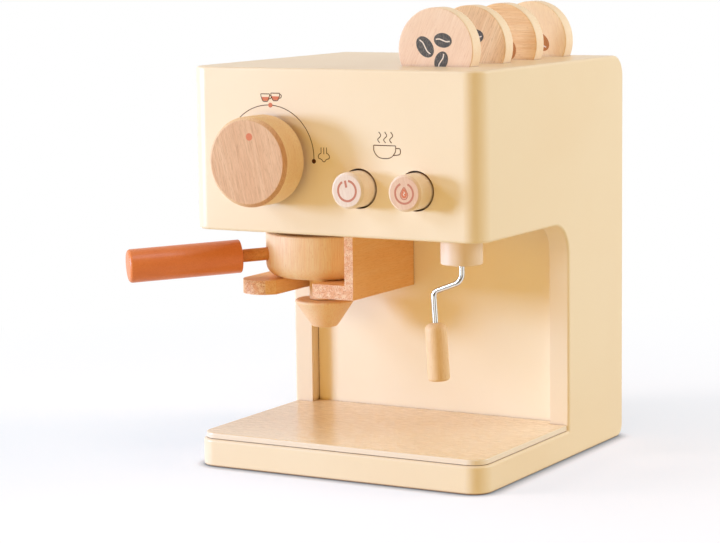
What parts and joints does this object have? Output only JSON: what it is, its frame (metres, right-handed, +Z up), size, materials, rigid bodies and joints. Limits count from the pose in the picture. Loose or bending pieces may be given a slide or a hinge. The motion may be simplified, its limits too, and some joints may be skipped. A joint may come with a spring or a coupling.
{
  "type": "toy coffee maker",
  "caption": "Painted wooden toy espresso machine with a dial, push buttons, a portafilter in a fork, a spout, a bent steam wand and wooden pods standing in slots.",
  "frame": {"origin": "middle of the housing's underside, between its outer faces", "axes": "+Z up, +X to the right, -Y towards the front panel"},
  "size_m": [0.2299, 0.2073, 0.2556],
  "materials": {
    "cream_paint": "satin cream paint on board",
    "tray_plywood": "pale oiled plywood",
    "beech": "oiled beech",
    "pale_beech": "pale sanded beech",
    "stained_beech": "orange stained beech",
    "bright_steel": "bright steel"
  },
  "bodies": {
    "housing": {"left_side_panel": "cream_paint", "right_side_panel": "cream_paint", "front_panel": "cream_paint", "top_panel": "cream_paint", "head_floor": "cream_paint", "column_wall": "cream_paint", "rear_panel": "cream_paint", "base_board": "cream_paint", "rear_batten_left": "beech", "rear_batten_right": "beech", "rear_screw_1": "bright_steel", "rear_screw_2": "bright_steel", "rear_screw_3": "bright_steel", "rear_screw_4": "bright_steel", "drip_tray": "tray_plywood", "bracket_plate": "beech", "bracket_wall": "beech", "bracket_screw_1": "bright_steel", "bracket_screw_2": "bright_steel", "button_guide": "beech", "power_spring": "bright_steel", "brew_spring": "bright_steel", "steam_boss": "cream_paint"},
    "dial": {"dial_knob": "pale_beech", "dial_shaft": "pale_beech", "dial_washer": "bright_steel", "dial_screw": "bright_steel"},
    "power_button": {"power_button": "pale_beech"},
    "brew_button": {"brew_button": "pale_beech"},
    "spout": {"spout_neck": "beech", "spout_cone": "beech"},
    "portafilter": {"portafilter_cup": "beech", "portafilter_shaft": "stained_beech", "portafilter_handle": "stained_beech"},
    "steam_wand": {"steam_wire": "bright_steel", "steam_grip": "beech", "wire_collar": "bright_steel"},
    "pod_1": {"pod_1": "pale_beech"},
    "pod_2": {"pod_2": "pale_beech"},
    "pod_3": {"pod_3": "pale_beech"},
    "pod_4": {"pod_4": "pale_beech"}
  },
  "joints": [
    {"name": "dial_turn", "type": "hinge", "parent": "housing", "child": "dial", "pos_m": [-0.038, -0.0915, 0.1747], "axis": [0, 1, 0], "range_deg": [-90, 90]},
    {"name": "power_press", "type": "slide", "parent": "housing", "child": "power_button", "axis": [0, 1, 0], "range_m": [0, 0.006], "stiffness_N_per_m": 300, "deforming": ["power_spring"]},
    {"name": "brew_press", "type": "slide", "parent": "housing", "child": "brew_button", "axis": [0, 1, 0], "range_m": [0, 0.006], "stiffness_N_per_m": 300, "deforming": ["brew_spring"]},
    {"name": "spout_slide", "type": "slide", "parent": "housing", "child": "spout", "axis": [0, -1, 0], "range_m": [0, 0.075]},
    {"name": "portafilter_turn", "type": "hinge", "parent": "spout", "child": "portafilter", "pos_m": [-0.052, -0.0122, 0.1006], "axis": [0, 0, 1], "range_deg": [-43, 45]},
    {"name": "wand_turn", "type": "hinge", "parent": "housing", "child": "steam_wand", "pos_m": [0.068, -0.0715, 0.121], "axis": [0, 0, 1], "continuous": true},
    {"name": "pod_1_lift", "type": "slide", "parent": "housing", "child": "pod_1", "axis": [0, 0, 1], "range_m": [0, 0.03]},
    {"name": "pod_2_lift", "type": "slide", "parent": "housing", "child": "pod_2", "axis": [0, 0, 1], "range_m": [0, 0.03]},
    {"name": "pod_3_lift", "type": "slide", "parent": "housing", "child": "pod_3", "axis": [0, 0, 1], "range_m": [0, 0.03]},
    {"name": "pod_4_lift", "type": "slide", "parent": "housing", "child": "pod_4", "axis": [0, 0, 1], "range_m": [0, 0.03]}
  ]
}
